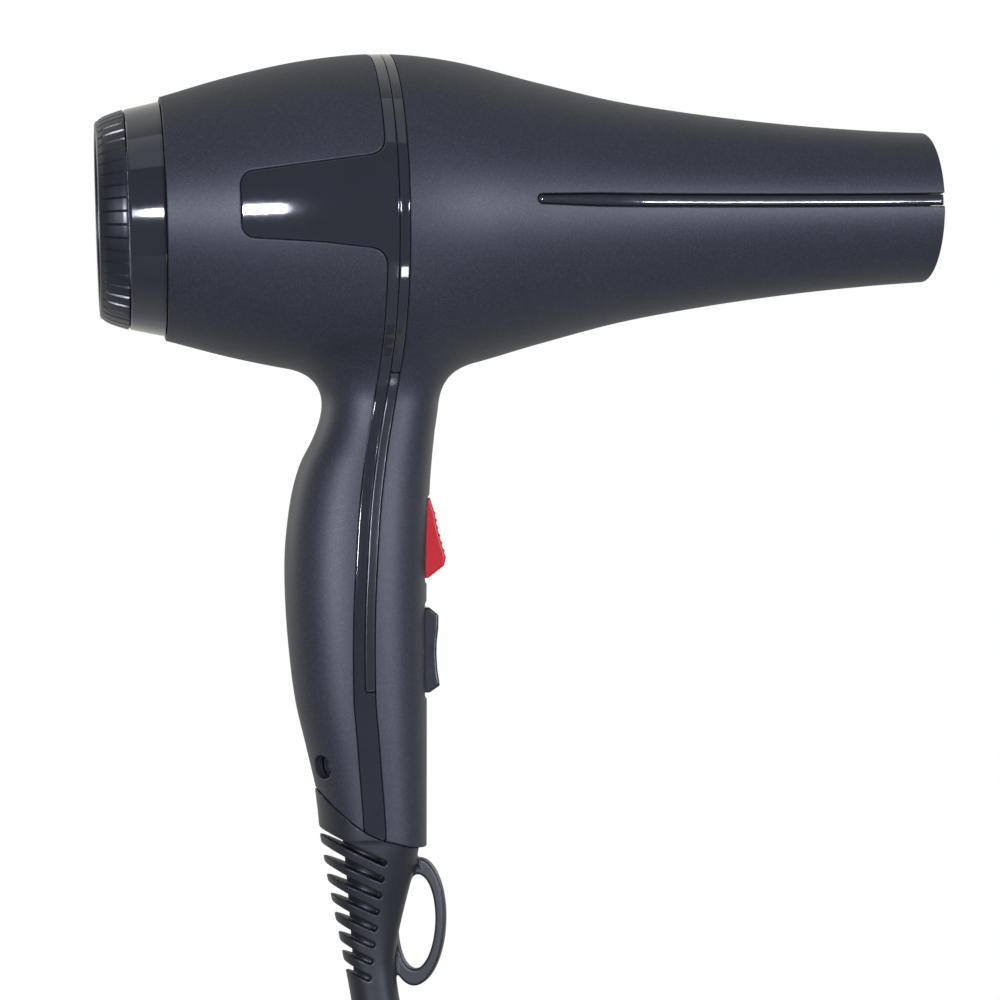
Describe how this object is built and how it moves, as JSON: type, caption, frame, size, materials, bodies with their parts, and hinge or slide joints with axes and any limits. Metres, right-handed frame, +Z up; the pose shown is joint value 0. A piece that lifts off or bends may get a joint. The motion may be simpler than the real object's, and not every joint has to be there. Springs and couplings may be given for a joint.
{
  "type": "hair dryer",
  "caption": "Hand-held salon hair dryer with a long tapered barrel, filter cap, cool-shot button, speed rocker, finned cord boot and coiled cord.",
  "frame": {"origin": "centre of the outlet rim, on the barrel's axis", "axes": "+X along the barrel, the way the air leaves; +Z up, with the handle hanging toward -Z; +Y to the dryer's left seen from behind"},
  "size_m": [0.2523, 0.0962, 0.4671],
  "materials": {
    "body_paint": "satin graphite with fine metallic fleck",
    "gloss_black": "high gloss black",
    "cap_plastic": "satin black, ribbed",
    "red_plastic": "red, lightly glossy",
    "switch_plastic": "satin black",
    "boot_rubber": "soft satin rubber",
    "cord_rubber": "satin rubber sheath",
    "plug_plastic": "moulded black",
    "pin_metal": "nickel plated",
    "tie_fabric": "hook and loop webbing",
    "steel_mesh": "woven wire",
    "inner_plastic": "moulded heat-proof plastic",
    "grille_metal": "dark enamelled wire",
    "mica": "pressed mica sheet",
    "heater_wire": "resistance wire",
    "ceramic_part": "glazed ceramic and phenolic",
    "steel": "ground steel",
    "screw_steel": "zinc plated",
    "laminations": "stacked lamination",
    "copper": "enamelled copper",
    "bronze": "sintered bronze",
    "brass": "bright brass",
    "carbon": "pressed carbon",
    "capacitor_case": "dipped resin",
    "foam": "closed cell foam",
    "wire_brown": "insulated wire",
    "wire_blue": "insulated wire"
  },
  "bodies": {
    "housing": {"front_shell": "body_paint", "rear_shell": "body_paint", "trim_band": "gloss_black", "trim_ring": "gloss_black", "side_spine_left": "gloss_black", "side_spine_right": "gloss_black", "rear_ring": "gloss_black", "intake_guard": "inner_plastic", "outlet_grille": "grille_metal", "heat_shield": "mica", "mica_cross": "mica", "heater_coils": "heater_wire", "thermostat": "ceramic_part", "thermal_fuse": "steel", "fan_duct": "inner_plastic", "duct_gasket": "foam", "stator_core": "laminations", "field_coils": "copper", "end_bracket": "inner_plastic", "rear_bush": "bronze", "front_bush": "bronze", "brush_holders": "brass", "carbon_brushes": "carbon", "capacitor": "capacitor_case", "cool_button_pin": "steel", "cool_switch": "switch_plastic", "rocker_pin": "steel", "rocker_switch": "switch_plastic", "switch_tabs": "brass", "supply_wires": "wire_brown", "heater_wires": "wire_blue", "handle_screws": "screw_steel", "cord_clamp": "inner_plastic", "clamp_screws": "screw_steel", "cord_boot": "boot_rubber", "power_cord": "cord_rubber", "cord_coil": "cord_rubber", "cord_tie": "tie_fabric", "plug_boot": "cord_rubber", "plug_body": "plug_plastic", "plug_pins": "pin_metal"},
    "rotor": {"motor_shaft": "steel", "armature": "laminations", "armature_winding": "copper", "commutator": "copper", "impeller": "inner_plastic", "impeller_nut": "brass"},
    "cap": {"filter_cap": "cap_plastic", "filter_mesh": "steel_mesh"},
    "cool_button": {"cool_button": "red_plastic"},
    "plunger": {"cool_plunger": "ceramic_part"},
    "rocker": {"speed_rocker": "switch_plastic"}
  },
  "joints": [
    {"name": "fan_spin", "type": "hinge", "parent": "housing", "child": "rotor", "pos_m": [-0.2, 0, 0], "axis": [1, 0, 0], "continuous": true},
    {"name": "cap_pull", "type": "slide", "parent": "housing", "child": "cap", "axis": [-1, 0, 0], "range_m": [0, 0.02]},
    {"name": "cool_shot_press", "type": "hinge", "parent": "housing", "child": "cool_button", "pos_m": [-0.1615, 0, -0.0875], "axis": [0, 1, 0], "range_deg": [0, 8], "stiffness_Nm_per_rad": 0.3, "springref_deg": -5.73},
    {"name": "plunger_push", "type": "slide", "parent": "housing", "child": "plunger", "axis": [-1, 0, 0], "range_m": [0, 0.0025]},
    {"name": "rocker_tilt", "type": "hinge", "parent": "housing", "child": "rocker", "pos_m": [-0.162, 0, -0.13], "axis": [0, 1, 0], "range_deg": [-9, 9]}
  ],
  "couplings": [
    {"joint": "plunger_push", "follows": "cool_shot_press", "m_per_rad": 0.0167}
  ]
}
